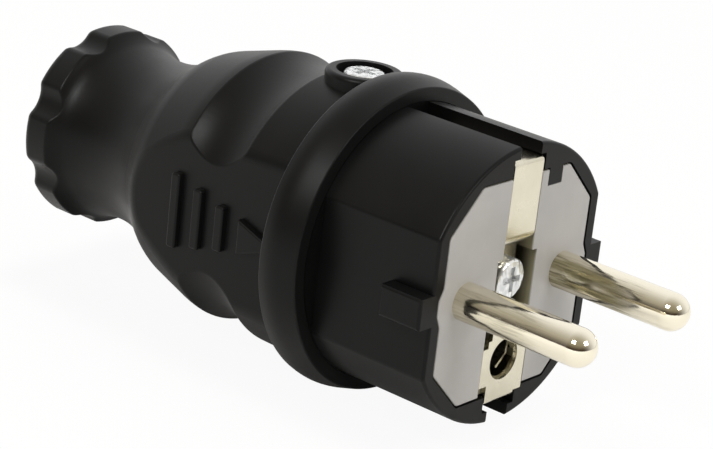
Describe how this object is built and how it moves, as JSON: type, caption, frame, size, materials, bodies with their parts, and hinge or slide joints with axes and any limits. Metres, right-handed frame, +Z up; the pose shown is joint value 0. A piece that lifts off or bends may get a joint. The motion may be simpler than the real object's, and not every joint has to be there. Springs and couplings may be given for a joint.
{
  "type": "electrical plug",
  "caption": "Rewirable round-pin mains plug with side earth strips, a hole for the socket's earth pin, a rubber grip body and a lobed gland nut that grips the cord.",
  "frame": {"origin": "centre of the engagement face, midway between the pins", "axes": "+X along the pins, the way the plug enters a socket; +Y from the left pin to the right pin; +Z up, to the housing screw"},
  "size_m": [0.0928, 0.0412, 0.0412],
  "materials": {
    "housing_rubber": "fine matte moulded black rubber with a soft sheen",
    "gland_plastic": "fine matte moulded black nylon",
    "shell_plastic": "matte moulded black plastic",
    "carrier_plastic": "smooth satin light grey moulded plastic",
    "nickel_plate": "polished nickel plate on brass with fine turning marks",
    "strip_plate": "satin nickel plate on brass sheet",
    "terminal_brass": "machined brass",
    "zinc_steel": "bright zinc plate on steel",
    "seal_rubber": "soft matte black rubber"
  },
  "bodies": {
    "plug_body": {"housing": "housing_rubber", "front_shell": "shell_plastic", "contact_carrier": "carrier_plastic", "left_pin": "nickel_plate", "right_pin": "nickel_plate", "upper_earth_strip": "strip_plate", "lower_earth_strip": "strip_plate", "earth_sleeve": "strip_plate", "earth_terminal": "terminal_brass", "centre_screw": "zinc_steel", "lock_washer": "zinc_steel", "wire_clamps": "zinc_steel", "terminal_screws": "zinc_steel", "housing_screw": "zinc_steel", "housing_nut": "zinc_steel", "cord_clamp_bar": "shell_plastic", "cord_clamp_screws": "zinc_steel", "cable_seal": "seal_rubber"},
    "slip_ring": {"clamp_ring": "gland_plastic"},
    "gland_nut": {"gland_nut": "gland_plastic"}
  },
  "joints": [
    {"name": "ring_slide", "type": "slide", "parent": "plug_body", "child": "slip_ring", "axis": [-1, 0, 0], "range_m": [0, 0.00451]},
    {"name": "gland_turn", "type": "hinge", "parent": "slip_ring", "child": "gland_nut", "pos_m": [-0.065, 0, 0], "axis": [-1, 0, 0], "range_deg": [0, 1080]}
  ],
  "couplings": [
    {"joint": "ring_slide", "follows": "gland_turn", "m_per_rad": 0.00023873}
  ]
}
